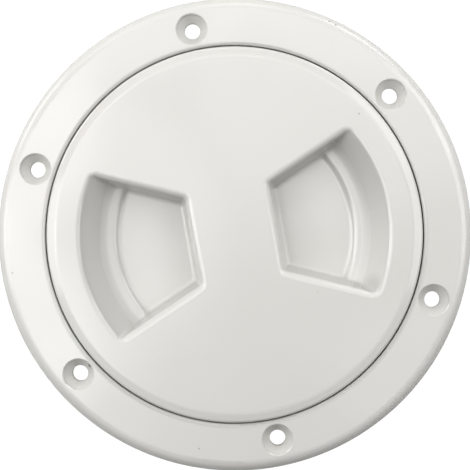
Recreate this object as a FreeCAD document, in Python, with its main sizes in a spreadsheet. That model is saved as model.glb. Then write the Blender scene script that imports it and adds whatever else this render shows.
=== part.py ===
import FreeCAD, Part
import math
import os

import Sketcher
from FreeCAD import Placement, Rotation, Vector

# Deck inspection plate, 4 inch nominal: a flange ring with a threaded neck, a lid that screws into
# it and a seal ring between them. The origin is the centre of the flange's underside, which lies on
# the deck, and +Z points out of the deck. Millimetres and degrees.

SIZES = (
    ("bore_radius", 53.0, "bore of the neck, the root of its thread"),
    ("bore_chamfer", 0.4, "broken edges of the bore"),
    ("neck_wall", 3.6, "wall of the neck"),
    ("neck_depth", 17.0, "length of the neck below the deck face"),
    ("neck_chamfer", 1.0, "lead-in chamfer at the end of the neck"),
    ("gland_width", 2.4, "width of the seal gland round the bore"),
    ("gland_depth", 2.6, "depth of the gland below the recess floor"),
    ("recess_step", 4.0, "how far the recess for the lid is wider than the bore"),
    ("recess_floor", 1.9, "height of the recess floor over the deck"),
    ("flange_width", 14.5, "width of the flange outside the recess"),
    ("flange_height", 5.5, "thickness of the flange"),
    ("flange_round", 3.6, "rounding of the outer corner"),
    ("lip_round", 1.0, "rounding of the lip"),
    ("sealant_inset", 3.5, "middle of the sealant groove inside the flange's edge"),
    ("sealant_width", 2.0, "width of the sealant groove"),
    ("sealant_depth", 0.8, "depth of the sealant groove"),
    ("screw_count", 6, "number of screw holes"),
    ("screw_phase", 41.84, "angle of the first screw hole"),
    ("screw_hole_radius", 2.4, "through hole for a flat-head screw"),
    ("sink_radius", 4.5, "radius of the countersink below its rim"),
    ("sink_straight", 1.2, "straight depth at the top of the countersink"),
    ("sink_cone", 2.6, "depth of the countersink's cone"),
    ("sink_break", 0.35, "broken edge of the countersink's rim"),
    ("thread_lead", 6.0, "rise of the thread in one turn"),
    ("thread_height", 2.0, "radial height of both threads"),
    ("thread_base", 3.0, "axial width of a thread at its root"),
    ("thread_crest", 1.6, "axial width of a thread at its crest"),
    ("thread_gap", 0.5, "radial gap between a crest and the facing root"),
    ("thread_bias", 0.3, "how far the lid's thread sits above mid gap"),
    ("thread_end", 2.1, "middle of the neck's lowest thread above the neck's end"),
    ("neck_turns", 1.95, "turns of thread in the neck"),
    ("lid_turns", 1.5, "turns of thread on the lid"),
    ("lid_top", 6.0, "height of the lid's flat top over the deck"),
    ("lid_plate", 2.4, "thickness of the lid's top"),
    ("seam_gap", 0.4, "gap between the lid's rim and the recess"),
    ("rim_gap", 0.25, "gap between the lid's rim and the recess floor"),
    ("shoulder_width", 2.75, "width of the sloping shoulder round the lid's flat top"),
    ("shoulder_slope", 13.0, "slope of the shoulder"),
    ("shoulder_blend", 4.0, "rounding between the flat top and the shoulder"),
    ("rim_round", 0.9, "rounding between the shoulder and the lid's rim"),
    ("hub_depth", 2.6, "length of the hub under the lid's rim"),
    ("hub_cone", 0.9, "length of the cone from the hub to the skirt"),
    ("skirt_wall", 2.2, "wall of the lid's skirt"),
    ("skirt_inset", 2.5, "end of the skirt above the end of the neck"),
    ("skirt_chamfer", 0.7, "lead-in chamfer at the end of the skirt"),
    ("seal_cord", 2.4, "diameter of the seal's cord"),
    ("well_phase", 10.1, "direction of the first finger well"),
    ("well_inner", 12.5, "distance of a well's inner wall from the centre"),
    ("well_inner_half", 13.45, "half length of the inner wall"),
    ("well_flare", 23.8, "angle between a side wall and the well's axis"),
    ("well_setback", 1.4, "from the inside of the skirt in to a well's outer wall"),
    ("well_depth", 9.2, "depth of a well's floor"),
    ("well_edge", 2.1, "rounding of a well's top edge"),
    ("well_round", 1.3, "rounding between a well's walls and its floor"),
    ("well_wall", 2.0, "wall round and under a well"),
    ("side_draft", 13.0, "draft of the side walls"),
    ("inner_draft", 10.0, "draft of the inner wall"),
    ("outer_draft", 42.0, "slope of the outer wall from upright"),
    ("scoop_round", 5.0, "radius of the scoop from the ledge up to the outer wall"),
    ("ledge_inset", 9.0, "from a well's outer wall in to the edge of the ledge in its floor"),
    ("ledge_rise", 1.35, "height of the ledge over the floor"),
    ("ledge_round", 2.2, "rounding of the ledge's edge"),
    ("ledge_foot", 2.0, "radius between the floor and the ledge"),
)

SHEET_COLUMNS = ("A", "B", "C")
OVERCUT = 2.0
EMBED = 0.4

# Sizes that follow from the driving ones, as the threads and seats need them.
NECK_RADIUS = "(Dims.bore_radius + Dims.neck_wall)"
GLAND_RADIUS = "(Dims.bore_radius + Dims.gland_width)"
RECESS_RADIUS = "(Dims.bore_radius + Dims.recess_step)"
FLANGE_RADIUS = "(Dims.bore_radius + Dims.recess_step + Dims.flange_width)"
LIP_END = f"({RECESS_RADIUS} + Dims.lip_round)"
ROUND_START = f"({FLANGE_RADIUS} - Dims.flange_round)"
SCREW_CIRCLE = f"(({LIP_END} + {ROUND_START}) / 2)"
LID_RADIUS = f"({RECESS_RADIUS} - Dims.seam_gap)"
SHOULDER_START = f"({LID_RADIUS} - Dims.shoulder_width)"
SHOULDER_END = "(Dims.lid_top - Dims.shoulder_width * tan(Dims.shoulder_slope))"
RIM_UNDER = "(Dims.recess_floor + Dims.rim_gap)"
GLAND_FLOOR = "(Dims.recess_floor - Dims.gland_depth)"
NECK_CREST = "(Dims.bore_radius - Dims.thread_height)"
LID_CREST = "(Dims.bore_radius - Dims.thread_gap)"
SKIRT_RADIUS = f"({LID_CREST} - Dims.thread_height)"
SKIRT_BORE = f"({SKIRT_RADIUS} - Dims.skirt_wall)"
SKIRT_END = "(Dims.skirt_inset - Dims.neck_depth)"
NECK_START = "(Dims.thread_end - Dims.neck_depth)"
LID_START = "(Dims.thread_end - Dims.neck_depth + Dims.thread_lead / 2 + Dims.thread_bias)"
SEAL_RADIUS = f"(({GLAND_RADIUS} + {LID_CREST}) / 2)"
SEAL_HEIGHT = "(Dims.recess_floor + (Dims.rim_gap - Dims.gland_depth) / 2)"
WELL_OUTER = f"({SKIRT_BORE} - Dims.well_setback)"
LEDGE_RADIUS = f"({WELL_OUTER} - Dims.ledge_inset)"
WELL_FLOOR = "(Dims.lid_top - Dims.well_depth)"
LEDGE_CENTRE = f"({WELL_FLOOR} + Dims.ledge_rise - Dims.ledge_round)"


def make_sheet(doc):
    sheet = doc.addObject("Spreadsheet::Sheet", "Dims")
    for row, entry in enumerate(SIZES, start=1):
        for column, value in zip(SHEET_COLUMNS, entry):
            sheet.set(f"{column}{row}", str(value))
        sheet.setAlias(f"B{row}", entry[0])
    doc.recompute()


def number(owner, expression):
    """The present value of an expression, to place geometry before it is constrained."""
    return float(owner.evalExpression(expression))


def origin_feature(body, role):
    for feature in body.Origin.OriginFeatures:
        if feature.Role == role:
            return feature
    raise ValueError(f"no {role} in {body.Label}")


def new_sketch(body, name, role):
    sketch = body.newObject("Sketcher::SketchObject", name)
    sketch.AttachmentSupport = [(origin_feature(body, role), "")]
    sketch.MapMode = "FlatFace"
    return sketch


def bind(sketch, constraint, expression):
    index = sketch.addConstraint(constraint)
    sketch.setExpression(f"Constraints[{index}]", expression)


def arc_between(start, end, radius, side):
    """The shorter arc from start to end, with its centre to the left (1) or right (-1)."""
    chord = end - start
    half = chord.Length / 2
    height = math.sqrt(max(radius * radius - half * half, 0.0))
    normal = Vector(-chord.y, chord.x, 0).normalize()
    centre = (start + end) / 2 + normal * height * side
    first = math.atan2(start.y - centre.y, start.x - centre.x)
    last = math.atan2(end.y - centre.y, end.x - centre.x)
    if side < 0:
        first, last = last, first
    circle = Part.Circle(centre, Vector(0, 0, 1), radius)
    return Part.ArcOfCircle(circle, first, last)


def draw_loop(sketch, corners, arcs=None):
    """A closed outline through corners given as pairs of expressions. arcs maps the number of a
    corner to the radius and side of the arc that leaves it."""
    arcs = arcs or {}
    points = [Vector(number(sketch, x), number(sketch, y), 0) for x, y in corners]
    ends = []
    for index, start in enumerate(points):
        end = points[(index + 1) % len(points)]
        if index in arcs:
            radius, side = arcs[index]
            edge = sketch.addGeometry(arc_between(start, end, number(sketch, radius), side))
            ends.append((edge, 1, 2) if side > 0 else (edge, 2, 1))
        else:
            edge = sketch.addGeometry(Part.LineSegment(start, end))
            ends.append((edge, 1, 2))
    for index, (edge, first, last) in enumerate(ends):
        following = ends[(index + 1) % len(ends)]
        sketch.addConstraint(Sketcher.Constraint("Coincident", edge, last, following[0], following[1]))
        x, y = corners[index]
        place = points[index]
        bind(sketch, Sketcher.Constraint("DistanceX", -1, 1, edge, first, place.x), x)
        bind(sketch, Sketcher.Constraint("DistanceY", -1, 1, edge, first, place.y), y)
        if index in arcs:
            radius = arcs[index][0]
            bind(sketch, Sketcher.Constraint("Radius", edge, number(sketch, radius)), radius)


def revolved(body, name, corners, kind="PartDesign::Revolution", arcs=None):
    """A turned form whose outline gives radius and height in the XZ plane."""
    sketch = new_sketch(body, name + "_outline", "XZ_Plane")
    draw_loop(sketch, corners, arcs)
    feature = body.newObject(kind, name)
    feature.Profile = sketch
    feature.ReferenceAxis = (sketch, ["V_Axis"])
    feature.Angle = 360
    sketch.Visibility = False
    body.Document.recompute()
    return feature


def circles_at(feature, radius, height, tolerance=0.02):
    """Names of the edges that are circles about Z with this radius and height."""
    names = []
    for index, edge in enumerate(feature.Shape.Edges, start=1):
        curve = edge.Curve
        if not isinstance(curve, Part.Circle):
            continue
        off_axis = math.hypot(curve.Center.x, curve.Center.y)
        errors = (off_axis, abs(curve.Radius - radius), abs(curve.Center.z - height))
        if max(errors) < tolerance:
            names.append(f"Edge{index}")
    return names


def dress(body, kind, name, base, edges, size):
    """A fillet or chamfer on named edges of the base feature."""
    feature = body.newObject(kind, name)
    feature.Base = (base, edges)
    feature.setExpression("Radius" if kind.endswith("Fillet") else "Size", size)
    body.Document.recompute()
    return feature


def thread(body, name, root, crest, start, turns):
    """A ridge of trapezoid section on a right-hand helix, with its root sunk into the wall."""
    sketch = new_sketch(body, name + "_outline", "XZ_Plane")
    inward = number(sketch, crest) < number(sketch, root)
    sunk = f"{root} + {EMBED}" if inward else f"{root} - {EMBED}"
    corners = (
        (sunk, f"{start} - Dims.thread_base / 2"),
        (root, f"{start} - Dims.thread_base / 2"),
        (crest, f"{start} - Dims.thread_crest / 2"),
        (crest, f"{start} + Dims.thread_crest / 2"),
        (root, f"{start} + Dims.thread_base / 2"),
        (sunk, f"{start} + Dims.thread_base / 2"),
    )
    draw_loop(sketch, corners)
    ridge = body.newObject("PartDesign::AdditiveHelix", name)
    ridge.Profile = sketch
    ridge.ReferenceAxis = (sketch, ["V_Axis"])
    ridge.Mode = "pitch-turns-angle"
    ridge.setExpression("Pitch", "Dims.thread_lead")
    ridge.setExpression("Turns", turns)
    ridge.LeftHanded = False
    sketch.Visibility = False
    body.Document.recompute()


def make_flange_ring(doc):
    body = doc.addObject("PartDesign::Body", "flange_ring")
    section = revolved(body, "ring_section", (
        ("Dims.bore_radius", "-Dims.neck_depth"),
        (NECK_RADIUS, "-Dims.neck_depth"),
        (NECK_RADIUS, "0"),
        (FLANGE_RADIUS, "0"),
        (FLANGE_RADIUS, "Dims.flange_height - Dims.flange_round"),
        (ROUND_START, "Dims.flange_height"),
        (LIP_END, "Dims.flange_height"),
        (RECESS_RADIUS, "Dims.flange_height - Dims.lip_round"),
        (RECESS_RADIUS, "Dims.recess_floor"),
        (GLAND_RADIUS, "Dims.recess_floor"),
        (GLAND_RADIUS, GLAND_FLOOR),
        ("Dims.bore_radius", GLAND_FLOOR),
    ), arcs={4: ("Dims.flange_round", 1), 6: ("Dims.lip_round", 1)})
    end = circles_at(section, number(body, NECK_RADIUS), -number(body, "Dims.neck_depth"))
    lead_in = dress(body, "PartDesign::Chamfer", "neck_lead_in", section, end, "Dims.neck_chamfer")
    bore = circles_at(lead_in, number(body, "Dims.bore_radius"), -number(body, "Dims.neck_depth"))
    bore += circles_at(lead_in, number(body, "Dims.bore_radius"), number(body, GLAND_FLOOR))
    dress(body, "PartDesign::Chamfer", "bore_edges", lead_in, bore, "Dims.bore_chamfer")

    inner = f"{FLANGE_RADIUS} - Dims.sealant_inset - Dims.sealant_width / 2"
    outer = f"{FLANGE_RADIUS} - Dims.sealant_inset + Dims.sealant_width / 2"
    revolved(body, "sealant_groove", (
        (inner, f"-{OVERCUT}"),
        (outer, f"-{OVERCUT}"),
        (outer, "Dims.sealant_depth"),
        (inner, "Dims.sealant_depth"),
    ), kind="PartDesign::Groove")
    add_screw_holes(body)
    thread(body, "neck_thread", "Dims.bore_radius", NECK_CREST, NECK_START, "Dims.neck_turns")
    return body


def add_screw_holes(body):
    """One countersunk hole, turned about its own axis, and its copies round the flange."""
    sketch = new_sketch(body, "screw_hole_outline", "XZ_Plane")
    sketch.AttachmentOffset = Placement(Vector(), Rotation(Vector(0, 1, 0), 1))
    sketch.setExpression("AttachmentOffset.Rotation.Angle", "Dims.screw_phase")
    top = "Dims.flange_height"
    axis = SCREW_CIRCLE
    corners = (
        (axis, f"-{OVERCUT}"),
        (f"{axis} + Dims.screw_hole_radius", f"-{OVERCUT}"),
        (f"{axis} + Dims.screw_hole_radius", f"{top} - Dims.sink_straight - Dims.sink_cone"),
        (f"{axis} + Dims.sink_radius", f"{top} - Dims.sink_straight"),
        (f"{axis} + Dims.sink_radius", f"{top} - Dims.sink_break"),
        (f"{axis} + Dims.sink_radius + Dims.sink_break + {OVERCUT}", f"{top} + {OVERCUT}"),
        (axis, f"{top} + {OVERCUT}"),
    )
    draw_loop(sketch, corners)
    middle = number(sketch, axis)
    height = number(sketch, top)
    ends = (Vector(middle, -OVERCUT, 0), Vector(middle, height, 0))
    line = sketch.addGeometry(Part.LineSegment(*ends), True)
    sketch.addConstraint(Sketcher.Constraint("Vertical", line))
    bind(sketch, Sketcher.Constraint("DistanceX", -1, 1, line, 1, middle), axis)
    bind(sketch, Sketcher.Constraint("DistanceY", -1, 1, line, 1, -OVERCUT), f"-{OVERCUT}")
    bind(sketch, Sketcher.Constraint("DistanceY", -1, 1, line, 2, height), top)
    hole = body.newObject("PartDesign::Groove", "screw_hole")
    hole.Profile = sketch
    hole.ReferenceAxis = (sketch, ["Axis0"])
    hole.Angle = 360
    sketch.Visibility = False
    body.Document.recompute()
    pattern = body.newObject("PartDesign::PolarPattern", "screw_holes")
    pattern.Originals = [hole]
    pattern.Axis = (origin_feature(body, "Z_Axis"), [""])
    pattern.Angle = 360
    pattern.setExpression("Occurrences", "Dims.screw_count")
    body.Tip = pattern
    body.Document.recompute()


def well_plan(body, name, grow, outer):
    """A well's plan in the lid's top: a straight inner wall, two side walls that spread outward
    and an outer wall concentric with the lid. grow widens it by the wall of the moulding."""
    sketch = new_sketch(body, name, "XY_Plane")
    sketch.setExpression("AttachmentOffset.Base.z", "Dims.lid_top")
    inner = f"(Dims.well_inner - {grow})"
    widened = f"{grow} * (1 / cos(Dims.well_flare) - tan(Dims.well_flare))"
    half = f"(Dims.well_inner_half + {widened})"
    x = number(sketch, inner)
    y = number(sketch, half)
    radius = number(sketch, outer)
    slope = math.tan(math.radians(number(sketch, "Dims.well_flare")))
    offset = y - slope * x
    square = 1 + slope * slope
    far = (math.sqrt(radius * radius * square - offset * offset) - slope * offset) / square
    corners = [Vector(x, y, 0), Vector(x, -y, 0)]
    corners += [Vector(far, -slope * far - offset, 0), Vector(far, slope * far + offset, 0)]
    lines = []
    for start, end in ((0, 1), (1, 2), (3, 0)):
        lines.append(sketch.addGeometry(Part.LineSegment(corners[start], corners[end])))
    inner_line, lower, upper = lines
    turn = math.atan2(corners[3].y, corners[3].x)
    circle = Part.Circle(Vector(), Vector(0, 0, 1), radius)
    arc = sketch.addGeometry(Part.ArcOfCircle(circle, -turn, turn))
    loop = (inner_line, lower, arc, upper)
    for before, after in zip(loop, loop[1:] + loop[:1]):
        sketch.addConstraint(Sketcher.Constraint("Coincident", before, 2, after, 1))
    sketch.addConstraint(Sketcher.Constraint("Coincident", arc, 3, -1, 1))
    sketch.addConstraint(Sketcher.Constraint("Symmetric", inner_line, 1, inner_line, 2, -1))
    sketch.addConstraint(Sketcher.Constraint("Symmetric", arc, 1, arc, 2, -1))
    bind(sketch, Sketcher.Constraint("DistanceX", -1, 1, inner_line, 1, x), inner)
    bind(sketch, Sketcher.Constraint("DistanceY", -1, 1, inner_line, 1, y), half)
    bind(sketch, Sketcher.Constraint("Radius", arc, radius), outer)
    angle = math.radians(number(sketch, "180 + Dims.well_flare"))
    bind(sketch, Sketcher.Constraint("Angle", upper, angle), "180 + Dims.well_flare")
    sketch.Visibility = False
    body.Document.recompute()
    return sketch


def wall_faces(feature, wall, tolerance=0.01):
    """Names of a block's straight inner wall or of its two side walls."""
    names = []
    for index, face in enumerate(feature.Shape.Faces, start=1):
        if not isinstance(face.Surface, Part.Plane):
            continue
        normal = face.normalAt(0, 0)
        level = abs(normal.z) > 1 - tolerance
        kind = "inner" if abs(normal.y) < tolerance else "side"
        if kind == wall and not level:
            names.append(f"Face{index}")
    return names


def top_face(feature, tolerance=0.01):
    for index, face in enumerate(feature.Shape.Faces, start=1):
        if face.BoundBox.ZMin > feature.Shape.BoundBox.ZMax - tolerance:
            return f"Face{index}"
    raise ValueError(f"{feature.Label} has no top face")


def drafted_block(body, name, depth, grow, outer):
    """A block under a well's plan, whose inner and side walls lean in towards its floor."""
    block = body.newObject("PartDesign::Pad", name)
    block.Profile = well_plan(body, name + "_plan", grow, outer)
    block.setExpression("Length", depth)
    block.Reversed = True
    body.Document.recompute()
    for wall in ("side", "inner"):
        draft = body.newObject("PartDesign::Draft", f"{name}_{wall}_draft")
        draft.Base = (block, wall_faces(block, wall))
        draft.NeutralPlane = (block, [top_face(block)])
        draft.setExpression("Angle", f"Dims.{wall}_draft")
        draft.Reversed = True
        body.Document.recompute()
        block = draft
    return block


def new_well_body(doc, name, turned):
    body = doc.addObject("PartDesign::Body", name)
    body.Placement = Placement(Vector(), Rotation(Vector(0, 0, 1), 1))
    body.setExpression("Placement.Rotation.Angle", f"Dims.well_phase + {turned}")
    return body


def scoop_points(owner, grow):
    """Where the sloping outer wall, the scoop, the ledge's edge, its foot and the floor meet. The three
    arcs touch each other, the wall and the floor. Also gives the arcs' centres and radii."""
    values = ("Dims.scoop_round", "Dims.ledge_round", "Dims.ledge_foot", "Dims.outer_draft")
    scoop, ledge, foot, draft = [number(owner, value) for value in values]
    slope = math.radians(draft)
    top = Vector(number(owner, WELL_OUTER), number(owner, "Dims.lid_top"), 0)
    along = Vector(-math.sin(slope), -math.cos(slope), 0)
    inward = Vector(-math.cos(slope), math.sin(slope), 0)
    ledge_centre = Vector(number(owner, LEDGE_RADIUS), number(owner, LEDGE_CENTRE), 0)
    reach = top + inward * scoop - ledge_centre
    travel = reach.dot(along)
    travel += math.sqrt(travel ** 2 - reach.dot(reach) + (scoop + ledge) ** 2)
    scoop_centre = ledge_centre + reach - along * travel
    floor = number(owner, WELL_FLOOR)
    rise = floor + foot - ledge_centre.y
    foot_centre = Vector(ledge_centre.x - math.sqrt((foot + ledge) ** 2 - rise ** 2), floor + foot, 0)
    wall = number(owner, grow)
    scoop, ledge, foot = scoop + wall, ledge - wall, foot + wall
    points = [
        scoop_centre - inward * scoop,
        ledge_centre + (scoop_centre - ledge_centre).normalize() * ledge,
        ledge_centre + (foot_centre - ledge_centre).normalize() * ledge,
        foot_centre - Vector(0, foot, 0),
    ]
    return points, (scoop_centre, ledge_centre, foot_centre), (scoop, ledge, foot)


def cut_outside(body, name, grow):
    """Trims a block to the turned form of a well's outer wall and floor. grow moves that form
    outward and down by the wall of the moulding."""
    sketch = new_sketch(body, name + "_outline", "XZ_Plane")
    floor = f"{WELL_FLOOR} - {grow}"
    under = f"{WELL_FLOOR} - Dims.well_wall - {2 * OVERCUT}"
    far = f"{WELL_OUTER} + Dims.well_wall + {4 * OVERCUT}"
    above = f"Dims.lid_top + {OVERCUT}"
    lip = f"{WELL_OUTER} + {grow} / cos(Dims.outer_draft) + {OVERCUT} * tan(Dims.outer_draft)"
    frame = (("0", floor), ("0", under), (far, under), (far, above), (lip, above))
    corners = [Vector(number(sketch, x), number(sketch, y), 0) for x, y in frame]
    joins, centres, radii = scoop_points(sketch, grow)
    edges = []
    for start, end in zip(corners, corners[1:]):
        edges.append(sketch.addGeometry(Part.LineSegment(start, end)))
    wall = sketch.addGeometry(Part.LineSegment(corners[4], joins[0]))
    arcs = []
    for index, (centre, radius) in enumerate(zip(centres, radii)):
        start, end = joins[index], joins[index + 1]
        first = math.atan2(start.y - centre.y, start.x - centre.x)
        last = math.atan2(end.y - centre.y, end.x - centre.x)
        if index != 1:
            first, last = last, first
        circle = Part.Circle(centre, Vector(0, 0, 1), radius)
        arcs.append(sketch.addGeometry(Part.ArcOfCircle(circle, first, last)))
    scoop, ledge, foot = arcs
    base = sketch.addGeometry(Part.LineSegment(joins[3], corners[0]))
    for before, after in zip(edges, edges[1:] + [wall]):
        sketch.addConstraint(Sketcher.Constraint("Coincident", before, 2, after, 1))
    sketch.addConstraint(Sketcher.Constraint("Coincident", base, 2, edges[0], 1))
    touching = ((wall, 2, scoop, 2), (scoop, 1, ledge, 1), (ledge, 2, foot, 2), (foot, 1, base, 1))
    for touch in touching:
        sketch.addConstraint(Sketcher.Constraint("Tangent", *touch))
    sketch.addConstraint(Sketcher.Constraint("Horizontal", base))
    for edge, (x, y), place in zip(edges + [wall], frame, corners):
        bind(sketch, Sketcher.Constraint("DistanceX", -1, 1, edge, 1, place.x), x)
        bind(sketch, Sketcher.Constraint("DistanceY", -1, 1, edge, 1, place.y), y)
    bind(sketch, Sketcher.Constraint("DistanceX", -1, 1, ledge, 3, centres[1].x), LEDGE_RADIUS)
    bind(sketch, Sketcher.Constraint("DistanceY", -1, 1, ledge, 3, centres[1].y), LEDGE_CENTRE)
    sizes = (f"Dims.scoop_round + {grow}", f"Dims.ledge_round - {grow}", f"Dims.ledge_foot + {grow}")
    for arc, radius, size in zip(arcs, radii, sizes):
        bind(sketch, Sketcher.Constraint("Radius", arc, radius), size)
    steep = "270 - Dims.outer_draft"
    bind(sketch, Sketcher.Constraint("Angle", wall, math.radians(number(sketch, steep))), steep)
    cut = body.newObject("PartDesign::Groove", name)
    cut.Profile = sketch
    cut.ReferenceAxis = (sketch, ["V_Axis"])
    cut.Angle = 360
    sketch.Visibility = False
    body.Document.recompute()
    return cut


def wall_edges(feature, height, tolerance=0.01):
    """Names of the edges of the straight walls, apart from those in the block's top plane."""
    around = []
    for wall in ("inner", "side"):
        for name in wall_faces(feature, wall):
            around.extend(feature.Shape.getElement(name).Edges)
    names = []
    for index, edge in enumerate(feature.Shape.Edges, start=1):
        low = edge.BoundBox.ZMin < height - tolerance
        if low and any(edge.isSame(other) for other in around):
            names.append(f"Edge{index}")
    return names


def make_well(doc, name, turned):
    """The space of one finger well: drafted walls, a flat floor and a curved ledge, from which a
    scoop for the fingertips rises to the outer wall."""
    body = new_well_body(doc, name, turned)
    outer = f"({WELL_OUTER} + {OVERCUT})"
    below = f"(Dims.well_depth + {OVERCUT})"
    drafted_block(body, name + "_block", below, "0", outer)
    trimmed = cut_outside(body, name + "_floor", "0")
    rounded = wall_edges(trimmed, number(body, "Dims.lid_top"))
    dress(body, "PartDesign::Fillet", name + "_rounds", trimmed, rounded, "Dims.well_round")
    return body


def make_well_shell(doc, name, turned):
    """The wall round and under one well."""
    body = new_well_body(doc, name, turned)
    outer = f"({WELL_OUTER} + Dims.well_wall + {2 * OVERCUT})"
    below = f"(Dims.well_depth + Dims.well_wall + {OVERCUT})"
    drafted_block(body, name + "_block", below, "Dims.well_wall", outer)
    cut_outside(body, name + "_floor", "Dims.well_wall")
    return body


def combine(body, kind, name, tools):
    feature = body.newObject("PartDesign::Boolean", name)
    feature.Type = kind
    feature.setObjects(tools)
    body.Document.recompute()
    return feature


def top_edges(feature, height, reach, tolerance=0.01):
    """Names of the edges that lie in the lid's flat top, inside the given radius."""
    names = []
    for index, edge in enumerate(feature.Shape.Edges, start=1):
        box = edge.BoundBox
        flat = abs(box.ZMin - height) < tolerance and abs(box.ZMax - height) < tolerance
        ends = [math.hypot(vertex.X, vertex.Y) for vertex in edge.Vertexes]
        if flat and max(ends) < reach + tolerance:
            names.append(f"Edge{index}")
    return names


def make_lid(doc):
    body = doc.addObject("PartDesign::Body", "lid")
    plate_under = "Dims.lid_top - Dims.lid_plate"
    section = revolved(body, "lid_section", (
        ("0", plate_under),
        (SKIRT_BORE, plate_under),
        (SKIRT_BORE, SKIRT_END),
        (SKIRT_RADIUS, SKIRT_END),
        (SKIRT_RADIUS, f"{RIM_UNDER} - Dims.hub_depth - Dims.hub_cone"),
        (LID_CREST, f"{RIM_UNDER} - Dims.hub_depth"),
        (LID_CREST, RIM_UNDER),
        (LID_RADIUS, RIM_UNDER),
        (LID_RADIUS, SHOULDER_END),
        (SHOULDER_START, "Dims.lid_top"),
        ("0", "Dims.lid_top"),
    ))
    rim = circles_at(section, number(body, LID_RADIUS), number(body, SHOULDER_END))
    rounded = dress(body, "PartDesign::Fillet", "rim_rounding", section, rim, "Dims.rim_round")
    crease = circles_at(rounded, number(body, SHOULDER_START), number(body, "Dims.lid_top"))
    blended = dress(body, "PartDesign::Fillet", "shoulder_blending", rounded, crease, "Dims.shoulder_blend")
    end = circles_at(blended, number(body, SKIRT_RADIUS), number(body, SKIRT_END))
    dress(body, "PartDesign::Chamfer", "skirt_lead_in", blended, end, "Dims.skirt_chamfer")
    shells = []
    wells = []
    for side, turned in (("east", 0), ("west", 180)):
        shells.append(make_well_shell(doc, f"well_shell_{side}", turned))
        wells.append(make_well(doc, f"well_{side}", turned))
    combine(body, "Fuse", "well_shells", shells)
    hollowed = combine(body, "Cut", "finger_wells", wells)
    rims = top_edges(hollowed, number(body, "Dims.lid_top"), number(body, WELL_OUTER))
    dress(body, "PartDesign::Fillet", "well_edges", hollowed, rims, "Dims.well_edge")
    thread(body, "lid_thread", SKIRT_RADIUS, LID_CREST, LID_START, "Dims.lid_turns")
    return body


def make_lid_seal(doc):
    seal = doc.addObject("Part::Torus", "lid_seal")
    seal.setExpression("Radius1", SEAL_RADIUS)
    seal.setExpression("Radius2", "Dims.seal_cord / 2")
    seal.setExpression("Placement.Base.z", SEAL_HEIGHT)
    doc.recompute()
    return seal


def report_state(doc):
    for item in doc.Objects:
        if "Invalid" in item.State or "Error" in item.State:
            raise RuntimeError(f"{item.Label} did not build: {item.State}")


def write_parts(parts):
    for part in parts:
        shape = part.Shape
        if shape.isNull() or not shape.isValid():
            raise RuntimeError(f"{part.Label} has no valid shape")
        print(part.Label, "solids", len(shape.Solids), "volume", round(shape.Volume, 1))
    os.makedirs("parts", exist_ok=True)
    for part in parts:
        part.Shape.exportStep(f"parts/{part.Label}.step")


def main():
    doc = FreeCAD.newDocument("deck_plate")
    make_sheet(doc)
    parts = [make_flange_ring(doc), make_lid(doc), make_lid_seal(doc)]
    doc.recompute()
    report_state(doc)
    write_parts(parts)


main()
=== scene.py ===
import math

import bpy
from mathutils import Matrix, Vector


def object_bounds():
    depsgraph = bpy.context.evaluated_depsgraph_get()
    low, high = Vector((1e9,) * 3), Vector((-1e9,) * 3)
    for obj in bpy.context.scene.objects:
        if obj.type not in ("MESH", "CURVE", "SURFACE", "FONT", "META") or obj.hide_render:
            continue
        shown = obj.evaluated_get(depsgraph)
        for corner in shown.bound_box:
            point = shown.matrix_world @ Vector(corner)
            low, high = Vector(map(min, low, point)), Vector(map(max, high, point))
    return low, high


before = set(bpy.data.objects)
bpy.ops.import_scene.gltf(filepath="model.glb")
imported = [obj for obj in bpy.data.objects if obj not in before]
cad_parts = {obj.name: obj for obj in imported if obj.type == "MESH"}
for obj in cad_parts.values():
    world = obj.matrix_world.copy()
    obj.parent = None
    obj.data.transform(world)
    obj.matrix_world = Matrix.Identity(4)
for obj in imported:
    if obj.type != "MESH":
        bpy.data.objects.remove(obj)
cad_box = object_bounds()

# Deck inspection plate seen from straight above, a little to the right of its middle. Lengths are
# in metres, angles in degrees and powers in watts. Azimuths run anticlockwise from the right of the
# photograph.

# The photograph and its camera. The flange's outline lies at OUTLINE_HEIGHT.
PHOTO_SIDE = 470
FLANGE_WIDTH = 0.143
FLANGE_PIXELS = 471.0
PIXEL = FLANGE_WIDTH / FLANGE_PIXELS
CENTRE_PIXEL = (235.0, 234.5)
CAMERA_PIXEL = (270.0, 233.0)
CAMERA_HEIGHT = 0.365
OUTLINE_HEIGHT = 0.0013
SENSOR_MILLIMETRES = 36.0
NEAREST_SEEN = 0.01

# Round soft lights on a dome above the plate, strongest over its upper half. For each tilt from
# upright, the azimuths and powers of its lights.
LIGHT_REACH = 0.5
LIGHT_SIZE = 0.2
LIGHTS = {
    74: ((60, 0.57), (150, 0.60)),
    56: ((0, 0.36), (30, 0.43), (90, 0.35), (120, 0.255), (180, 0.68)),
    40: ((0, 0.28), (36, 0.33), (180, 0.36)),
    26: ((67.5, 0.125), (112.5, 0.18), (157.5, 0.30), (202.5, 0.305)),
    14: ((60, 0.105), (120, 0.04), (180, 0.14)),
}
# Two smaller lights that mostly show as soft reflections: tilt, azimuth and power.
SMALL_LIGHT_SIZE = 0.1
SMALL_LIGHTS = ((17.0, 318, 0.025), (19.0, 225, 0.022))

WHITE = (1, 1, 1, 1)
WORLD_LEVEL = 0.05
BACKDROP_LEVEL = 1.05
FLOOR_GAP = 0.0005
FLOOR_REACH = 3.0
FLOOR_COLOUR = (0.55, 0.55, 0.54, 1)

# White plastic. Blotches shade its tint a little and raise it a little, and fine grain varies its
# roughness.
PLASTIC_TINT = (0.569, 0.563, 0.543)
BLOTCH_SHADE = (0.94, 0.935, 0.92)
BLOTCH_SCALE = 28.0
BLOTCH_DETAIL = 3.0
BLOTCH_BUMP = 0.04
BLOTCH_RISE = 0.0004
PLASTIC_IOR = 1.5
PLASTIC_ROUGHNESS = (0.10, 0.14)
GRAIN_SCALE = 420.0
GRAIN_DETAIL = 4.0

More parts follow.
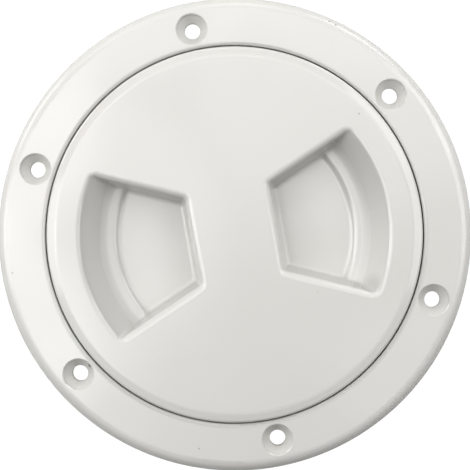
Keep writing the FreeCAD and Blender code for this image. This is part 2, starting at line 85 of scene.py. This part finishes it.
# Black rubber, with dust.
RUBBER_TONES = ((0.012, 0.012, 0.012, 1), (0.035, 0.034, 0.033, 1))
RUBBER_ROUGHNESS = 0.7
DUST_SCALE = 300.0
DUST_DETAIL = 4.0

# Painted shade and matt patches are a set of masks. Over a span of two numbers a mask grows from
# nothing at the first to whole at the second. A band grows over its first span and fades over its
# second. A share says how strong a mask gets. A side is a direction from the axis, and the spans of
# sides and facings say how nearly two directions agree, from -1 to 1.
DULL_ROUGHNESS = 0.5
UPWARD = (0, 0, 1)

# On the flange: painted shade and a matt patch on the lip on its lower side, painted shade on the
# recess wall on its right side, and a matt outer edge.
LIP_PAINTED_SHADE_TONE = 0.71
LIP_SIDE = (0.32, -0.947, 0)
LIP_SIDE_SPAN = (-0.2, 0.7)
LIP_BAND = ((0.0569, 0.0574), (0.0577, 0.0584))
LIP_HEIGHT_SPAN = (0.0040, 0.0048)
RECESS_SIDE = (0.87, 0.5, 0)
RECESS_SIDE_SPAN = (-0.2, 0.6)
RECESS_RADIUS_SPAN = (0.0582, 0.0578)
RECESS_HEIGHT_SPAN = (0.0050, 0.0044)
EDGE_RADIUS_SPAN = (0.0675, 0.0690)
EDGE_SHARE = 0.5

# In the finger wells: painted shade on the outer, upper and lower walls, and matt bands with a
# little painted shade at the bends in the floor.
WELL_PAINTED_SHADE_TONE = 0.80
WELL_RADIUS_SPAN = (0.052, 0.050)
LEDGE_FOOT_BAND = ((0.0342, 0.0350), (0.0360, 0.0366))
LEDGE_FOOT_SHARE = 0.45
SCOOP_BAND = ((0.0380, 0.0392), (0.0408, 0.0420))
BEND_HEIGHT_SPAN = (0.0045, 0.0035)
BEND_SHADE_SHARE = 0.1
OUTER_WALL_FACING = (-0.15, -0.55)
OUTER_WALL_SIDE = (-0.6, 0.8, 0)
OUTER_WALL_SIDE_SPAN = (-0.85, -0.05)
UPPER_WALL_NORMAL = (0.5, -0.87, 0)
UPPER_WALL_FACING = (0.4, 0.95)
UPPER_WALL_SHARE = 0.85
LOWER_WALL_NORMAL = (0, 1, 0)
LOWER_WALL_FACING = (0.4, 0.8)
LOWER_WALL_SHARE = 0.75
LOWER_WALL_HEIGHT_SPAN = (0.0054, 0.0036)
# Painted shade in the lower corner of the right well, round a pixel of the photograph.
CORNER_PIXEL = (372.0, 287.0)
CORNER_HEIGHT = 0.003
CORNER_DISTANCE_SPAN = (0.0056, 0.0012)
CORNER_SHARE = 0.9
CORNER_HEIGHT_SPAN = (0.0054, 0.0046)

# Dirt specks that the photograph shows: pixel, height of the surface there, radius, strength and
# the node they are on. A speck is whole within its core, which is a share of its radius.
SPECK_COLOUR = (0.12, 0.10, 0.085, 1)
SPECK_CORE = 0.3
SPECKS = (
    ((329.3, 21.3), 0.00469, 0.00045, 0.55, "flange_ring"),
    ((335.8, 25.0), 0.00485, 0.00050, 0.65, "flange_ring"),
    ((89.5, 365.7), 0.00358, 0.00075, 0.90, "flange_ring"),
    ((12.3, 272.8), 0.00550, 0.00045, 0.40, "flange_ring"),
    ((199.0, 448.6), 0.00550, 0.00040, 0.50, "flange_ring"),
    ((400.0, 106.4), 0.00427, 0.00055, 0.25, "flange_ring"),
    ((359.0, 113.7), 0.00600, 0.00045, 0.40, "lid"),
    ((317.5, 292.0), 0.00600, 0.00040, 0.15, "lid"),
)


def from_pixel(pixel, height):
    """Where a pixel of the photograph meets the level plane at a height."""
    nearer = (CAMERA_HEIGHT - height) / (CAMERA_HEIGHT - OUTLINE_HEIGHT)
    right = CAMERA_PIXEL[0] - CENTRE_PIXEL[0] + (pixel[0] - CAMERA_PIXEL[0]) * nearer
    up = CENTRE_PIXEL[1] - CAMERA_PIXEL[1] - (pixel[1] - CAMERA_PIXEL[1]) * nearer
    return Vector((right * PIXEL, up * PIXEL, height))


class Graph:
    """Adds shader nodes to one material or world. Values are plain or another node's output."""

    def __init__(self, owner):
        owner.use_nodes = True
        self.nodes = owner.node_tree.nodes
        self.links = owner.node_tree.links

    def feed(self, value, socket):
        if isinstance(value, bpy.types.NodeSocket):
            self.links.new(value, socket)
        else:
            socket.default_value = value

    def math(self, operation, first, second, clamp=False):
        node = self.nodes.new("ShaderNodeMath")
        node.operation = operation
        node.use_clamp = clamp
        self.feed(first, node.inputs[0])
        self.feed(second, node.inputs[1])
        return node.outputs[0]

    def product(self, first, *others):
        for other in others:
            first = self.math("MULTIPLY", first, other)
        return first

    def total(self, first, *others):
        """Adds masks up, to one at the most."""
        for other in others:
            first = self.math("ADD", first, other, clamp=True)
        return first

    def vector(self, operation, first, second=None):
        """A vector operation, with its vector or its number as the result."""
        node = self.nodes.new("ShaderNodeVectorMath")
        node.operation = operation
        self.feed(first, node.inputs[0])
        if second is not None:
            self.feed(second, node.inputs[1])
        numbers = ("DISTANCE", "LENGTH", "DOT_PRODUCT")
        return node.outputs["Value" if operation in numbers else "Vector"]

    def polar(self, place):
        """Distance from the plate's axis, direction away from it and height."""
        flat = self.vector("MULTIPLY", place, (1, 1, 0))
        radius = self.vector("LENGTH", flat)
        outward = self.vector("NORMALIZE", flat)
        return radius, outward, self.vector("DOT_PRODUCT", place, UPWARD)

    def ramp(self, value, span, top=1.0):
        """Rises smoothly from nothing at the span's first number to the top at its second."""
        node = self.nodes.new("ShaderNodeMapRange")
        node.interpolation_type = "SMOOTHSTEP"
        node.inputs["From Min"].default_value = span[0]
        node.inputs["From Max"].default_value = span[1]
        node.inputs["To Max"].default_value = top
        self.feed(value, node.inputs["Value"])
        return node.outputs["Result"]

    def agreement(self, first, second, span, top=1.0):
        """A ramp of how nearly two directions agree."""
        return self.ramp(self.vector("DOT_PRODUCT", first, second), span, top)

    def band(self, value, spans):
        """One between the two spans, and nothing outside them."""
        rise, fall = spans
        return self.product(self.ramp(value, rise), self.ramp(value, (fall[1], fall[0])))

    def noise(self, place, scale, detail):
        node = self.nodes.new("ShaderNodeTexNoise")
        node.inputs["Scale"].default_value = scale
        node.inputs["Detail"].default_value = detail
        self.feed(place, node.inputs["Vector"])
        return node.outputs["Fac"]

    def mix(self, first, second, factor, blend="MIX"):
        """From the first colour to the second, or to the two blended."""
        node = self.nodes.new("ShaderNodeMix")
        node.data_type = "RGBA"
        node.blend_type = blend
        self.feed(first, node.inputs["A"])
        self.feed(second, node.inputs["B"])
        self.feed(factor, node.inputs["Factor"])
        return node.outputs["Result"]


def specks_on(graph, place, node):
    """Adds up small soft-edged spots, each round its own place on the node's surface."""
    spots = []
    for pixel, height, radius, strength, home in SPECKS:
        if home == node:
            distance = graph.vector("DISTANCE", place, from_pixel(pixel, height))
            spots.append(graph.ramp(distance, (radius, radius * SPECK_CORE), strength))
    return graph.total(*spots)


def ring_painted_shade_and_matt(graph, coordinates):
    """The flange's painted shade, as a share of tone, and its matt patches, as a share of gloss."""
    radius, outward, height = graph.polar(coordinates.outputs["Object"])
    # Lip: painted shade that darkens the lower lip's highlight, and a matt patch there.
    lip = graph.product(
        graph.band(radius, LIP_BAND),
        graph.ramp(height, LIP_HEIGHT_SPAN),
        graph.agreement(outward, LIP_SIDE, LIP_SIDE_SPAN),
    )
    # Recess: painted shade on the recess wall on the right side, by the seam.
    recess = graph.product(
        graph.ramp(radius, RECESS_RADIUS_SPAN),
        graph.ramp(height, RECESS_HEIGHT_SPAN),
        graph.agreement(outward, RECESS_SIDE, RECESS_SIDE_SPAN),
    )
    edge = graph.ramp(radius, EDGE_RADIUS_SPAN, EDGE_SHARE)
    return graph.total(lip, recess), graph.total(lip, edge)


def well_painted_shade_and_matt(graph, coordinates):
    """The finger wells' painted shade, as a share of tone, and their matt patches, as a share of
    gloss.
    """
    place = coordinates.outputs["Object"]
    normal = coordinates.outputs["Normal"]
    radius, outward, height = graph.polar(place)
    # Bends: matt bands in the floor, which also carry a little painted shade below.
    bends = graph.total(
        graph.product(graph.band(radius, LEDGE_FOOT_BAND), LEDGE_FOOT_SHARE),
        graph.band(radius, SCOOP_BAND),
    )
    bends = graph.product(bends, graph.ramp(height, BEND_HEIGHT_SPAN))
    # Outer walls: painted shade, strongest towards the upper left.
    outer = graph.product(
        graph.agreement(normal, outward, OUTER_WALL_FACING),
        graph.agreement(outward, OUTER_WALL_SIDE, OUTER_WALL_SIDE_SPAN),
    )
    in_wells = graph.ramp(radius, WELL_RADIUS_SPAN)
    # Upper walls: painted shade.
    upper = graph.product(
        graph.agreement(normal, UPPER_WALL_NORMAL, UPPER_WALL_FACING, UPPER_WALL_SHARE),
        in_wells,
    )
    # Lower walls: painted shade on their lower part.
    lower = graph.product(
        graph.agreement(normal, LOWER_WALL_NORMAL, LOWER_WALL_FACING, LOWER_WALL_SHARE),
        in_wells,
        graph.ramp(height, LOWER_WALL_HEIGHT_SPAN),
    )
    # Corner: painted shade in the lower corner of the right well.
    distance = graph.vector("DISTANCE", place, from_pixel(CORNER_PIXEL, CORNER_HEIGHT))
    corner = graph.product(
        graph.ramp(distance, CORNER_DISTANCE_SPAN, CORNER_SHARE),
        graph.ramp(height, CORNER_HEIGHT_SPAN),
    )
    # A little painted shade on the bends.
    bend_shade = graph.product(bends, BEND_SHADE_SHARE)
    return graph.total(outer, upper, lower, corner, bend_shade), bends


def white_plastic(name, node, shade_and_matt, shade_tone):
    """Glossy white moulding with faint blotches, painted shade, matt patches and the node's specks.
    """
    material = bpy.data.materials.new(name)
    graph = Graph(material)
    shader = graph.nodes["Principled BSDF"]
    coordinates = graph.nodes.new("ShaderNodeTexCoord")
    place = coordinates.outputs["Object"]
    painted_shade_share, matt_share = shade_and_matt(graph, coordinates)

    blotch = graph.noise(place, BLOTCH_SCALE, BLOTCH_DETAIL)
    shaded = [tint * shade for tint, shade in zip(PLASTIC_TINT, BLOTCH_SHADE)]
    tone = graph.mix((*PLASTIC_TINT, 1), (*shaded, 1), blotch)
    # Painted shade: the tone is darkened towards the shade tone where the masks say.
    tone = graph.mix(tone, (shade_tone, shade_tone, shade_tone, 1), painted_shade_share, blend="MULTIPLY")
    tone = graph.mix(tone, SPECK_COLOUR, specks_on(graph, place, node))
    graph.feed(tone, shader.inputs["Base Color"])

    grain = graph.nodes.new("ShaderNodeMapRange")
    grain.inputs["To Min"].default_value = PLASTIC_ROUGHNESS[0]
    grain.inputs["To Max"].default_value = PLASTIC_ROUGHNESS[1]
    graph.feed(graph.noise(place, GRAIN_SCALE, GRAIN_DETAIL), grain.inputs["Value"])
    matt = graph.product(matt_share, DULL_ROUGHNESS)
    graph.feed(graph.math("MAXIMUM", grain.outputs["Result"], matt), shader.inputs["Roughness"])
    shader.inputs["IOR"].default_value = PLASTIC_IOR

    bump = graph.nodes.new("ShaderNodeBump")
    bump.inputs["Strength"].default_value = BLOTCH_BUMP
    bump.inputs["Distance"].default_value = BLOTCH_RISE
    graph.feed(blotch, bump.inputs["Height"])
    graph.feed(bump.outputs["Normal"], shader.inputs["Normal"])
    return material


def black_rubber():
    material = bpy.data.materials.new("seal_rubber")
    graph = Graph(material)
    shader = graph.nodes["Principled BSDF"]
    place = graph.nodes.new("ShaderNodeTexCoord").outputs["Object"]
    clean, dusty = RUBBER_TONES
    dust = graph.noise(place, DUST_SCALE, DUST_DETAIL)
    graph.feed(graph.mix(clean, dusty, dust), shader.inputs["Base Color"])
    shader.inputs["Roughness"].default_value = RUBBER_ROUGHNESS
    return material


def dress(node, material):
    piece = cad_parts[node]
    piece.data.materials.clear()
    piece.data.materials.append(material)
    piece.shadow_terminator_geometry_offset = 0.0


def area_light(tilt, azimuth, power, size):
    """A round soft light that faces the plate's centre."""
    tilt, azimuth = math.radians(tilt), math.radians(azimuth)
    flat = math.sin(tilt)
    outward = Vector((flat * math.cos(azimuth), flat * math.sin(azimuth), math.cos(tilt)))
    data = bpy.data.lights.new("soft_light", "AREA")
    data.shape = "DISK"
    data.size = size
    data.energy = power
    light = bpy.data.objects.new("soft_light", data)
    light.visible_camera = False
    bpy.context.scene.collection.objects.link(light)
    light.location = outward * LIGHT_REACH
    light.rotation_euler = (-outward).to_track_quat("-Z", "Y").to_euler()


def make_floor():
    """A pale floor under the neck. To the camera it is plain white, as the photograph's ground."""
    low = cad_box[0].z - FLOOR_GAP
    mesh = bpy.data.meshes.new("floor")
    sides = ((-1, -1), (1, -1), (1, 1), (-1, 1))
    corners = [(x * FLOOR_REACH, y * FLOOR_REACH, low) for x, y in sides]
    mesh.from_pydata(corners, [], [(0, 1, 2, 3)])
    floor = bpy.data.objects.new("floor", mesh)
    bpy.context.scene.collection.objects.link(floor)
    material = bpy.data.materials.new("floor")
    graph = Graph(material)
    graph.nodes.clear()
    output = graph.nodes.new("ShaderNodeOutputMaterial")
    path = graph.nodes.new("ShaderNodeLightPath")
    seen = graph.nodes.new("ShaderNodeEmission")
    seen.inputs["Color"].default_value = WHITE
    seen.inputs["Strength"].default_value = BACKDROP_LEVEL
    matte = graph.nodes.new("ShaderNodeBsdfDiffuse")
    matte.inputs["Color"].default_value = FLOOR_COLOUR
    mix = graph.nodes.new("ShaderNodeMixShader")
    sources = (path.outputs["Is Camera Ray"], matte.outputs[0], seen.outputs[0])
    for source, socket in zip(sources, mix.inputs):
        graph.feed(source, socket)
    graph.feed(mix.outputs[0], output.inputs["Surface"])
    mesh.materials.append(material)


def make_light():
    for tilt, ring in LIGHTS.items():
        for azimuth, power in ring:
            area_light(tilt, azimuth, power, LIGHT_SIZE)
    for tilt, azimuth, power in SMALL_LIGHTS:
        area_light(tilt, azimuth, power, SMALL_LIGHT_SIZE)


def make_world():
    """A dim room that lights the plate a little. To the camera it is plain white."""
    world = bpy.data.worlds.new("studio")
    graph = Graph(world)
    back = graph.nodes["Background"]
    back.inputs["Color"].default_value = WHITE
    path = graph.nodes.new("ShaderNodeLightPath")
    seen = graph.product(path.outputs["Is Camera Ray"], BACKDROP_LEVEL)
    graph.feed(graph.math("MAXIMUM", seen, WORLD_LEVEL), back.inputs["Strength"])
    bpy.context.scene.world = world


def make_camera():
    data = bpy.data.cameras.new("camera")
    camera = bpy.data.objects.new("camera", data)
    bpy.context.scene.collection.objects.link(camera)
    bpy.context.scene.camera = camera
    camera.location = from_pixel(CAMERA_PIXEL, CAMERA_HEIGHT)
    photo_width = PHOTO_SIDE * PIXEL
    data.sensor_width = SENSOR_MILLIMETRES
    data.lens = data.sensor_width * (CAMERA_HEIGHT - OUTLINE_HEIGHT) / photo_width
    middle = PHOTO_SIDE / 2
    data.shift_x = (middle - CAMERA_PIXEL[0]) / PHOTO_SIDE
    data.shift_y = (CAMERA_PIXEL[1] - middle) / PHOTO_SIDE
    data.clip_start = NEAREST_SEEN


bpy.context.scene.view_settings.view_transform = "Standard"
dress("flange_ring", white_plastic("ring_moulding", "flange_ring", ring_painted_shade_and_matt, LIP_PAINTED_SHADE_TONE))
dress("lid", white_plastic("lid_moulding", "lid", well_painted_shade_and_matt, WELL_PAINTED_SHADE_TONE))
dress("lid_seal", black_rubber())
make_floor()
make_light()
make_world()
make_camera()
